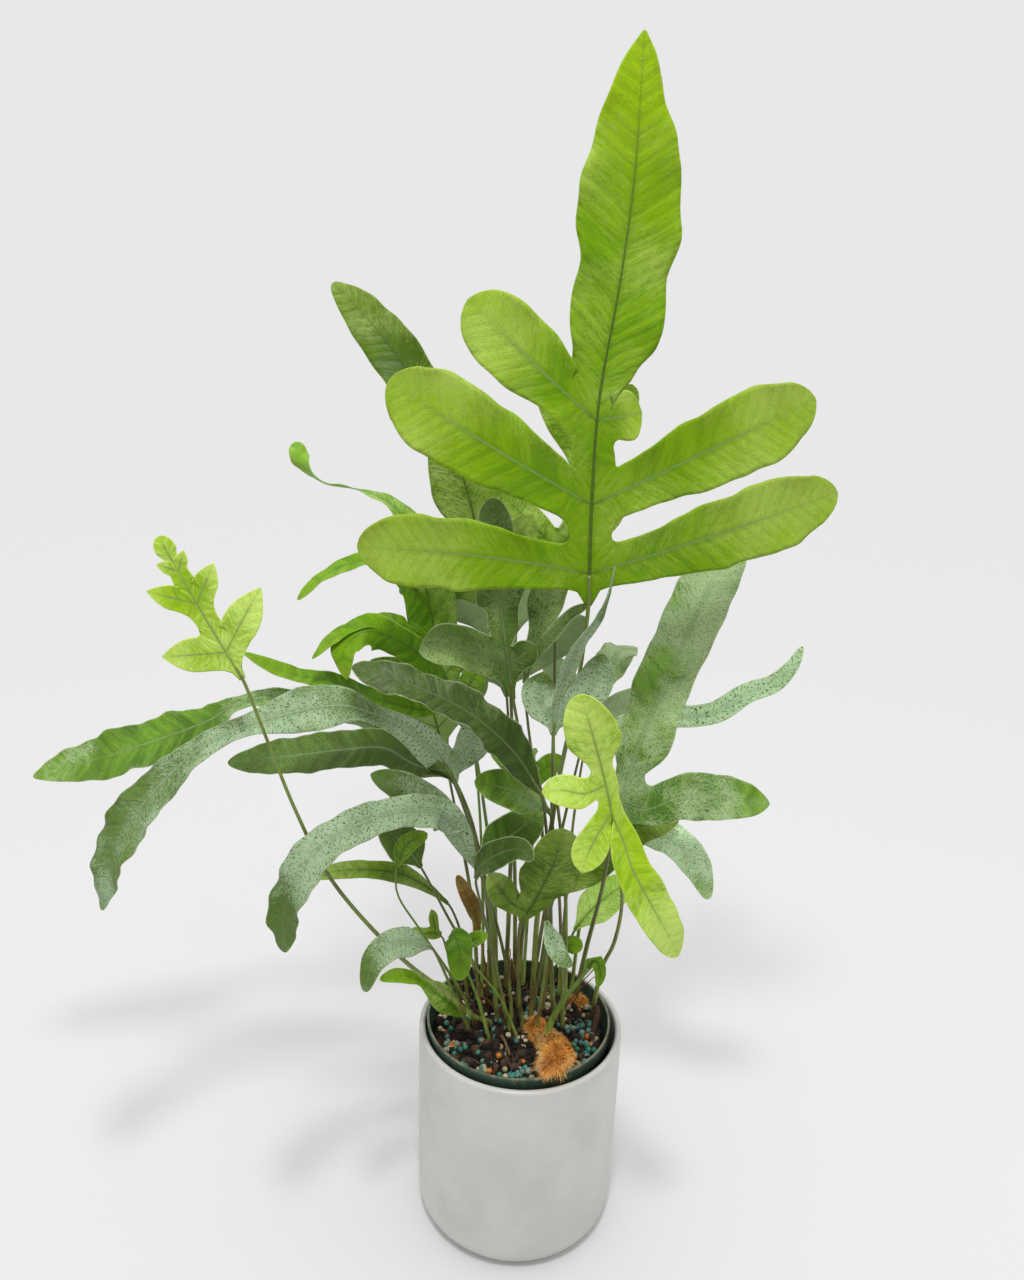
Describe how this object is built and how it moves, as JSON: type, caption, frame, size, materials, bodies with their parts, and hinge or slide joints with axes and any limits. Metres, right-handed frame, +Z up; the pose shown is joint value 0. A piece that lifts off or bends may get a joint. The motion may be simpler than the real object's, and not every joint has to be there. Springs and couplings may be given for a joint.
{
  "type": "potted fern",
  "caption": "Potted blue star fern: lobed wavy fronds on thin stalks from a furry creeping rhizome, in soil, a nursery pot and a plain ceramic cover pot.",
  "frame": {"origin": "centre of the cover pot's flat foot, on the surface that the pot stands on", "axes": "+Z up the pot's axis; -Y is the front, the side that the picture shows; +X to its right"},
  "size_m": [0.4107, 0.2761, 0.6201],
  "materials": {
    "ceramic": "satin",
    "nursery_plastic": "satin",
    "soil": "rough",
    "rhizome": "furry",
    "leaf_bright": "satin",
    "leaf_lime": "satin",
    "leaf_green": "satin",
    "leaf_blue": "matte, waxy bloom",
    "dry": "rough"
  },
  "bodies": {
    "root": {"ceramic_pot": "ceramic", "nursery_pot": "nursery_plastic", "soil": "soil", "rhizome_front": "rhizome", "rhizome_back": "rhizome", "dry_stalk_left": "dry", "dry_stalk_front": "dry", "bark_chip": "dry", "frond_tall": "leaf_bright", "frond_back_left": "leaf_green", "frond_behind": "leaf_green", "frond_middle": "leaf_blue", "frond_middle_right": "leaf_green", "frond_arched": "leaf_blue", "frond_three_lobes": "leaf_blue", "frond_right": "leaf_blue", "frond_lime_front": "leaf_lime", "frond_lime_left": "leaf_lime", "frond_long_left": "leaf_blue", "frond_far_left": "leaf_green", "frond_low_arch": "leaf_blue", "frond_dark_left": "leaf_green", "frond_small_green": "leaf_bright", "frond_low_right": "leaf_green", "frond_pale_right": "leaf_green", "frond_tiny_right": "leaf_green", "frond_centre": "leaf_green", "frond_leaning_leaf": "leaf_green", "frond_curled_tip": "leaf_green", "frond_mottled": "leaf_green", "frond_pointed_left": "leaf_green", "frond_thread_left": "leaf_green", "frond_narrow_left": "leaf_green", "frond_low_left": "leaf_blue", "frond_dark_small": "leaf_green", "frond_drooping": "leaf_bright", "frond_tiny_left": "leaf_green", "frond_by_rim": "leaf_bright", "frond_hanging": "leaf_blue", "frond_twisted_right": "leaf_blue", "frond_drooping_right": "leaf_blue", "frond_rear_high": "leaf_blue", "frond_rear_right": "leaf_green", "frond_rear_left": "leaf_green", "frond_rear_low": "leaf_bright", "dead_leaf": "dry", "frond_unrolling": "leaf_bright"}
  },
  "joints": []
}
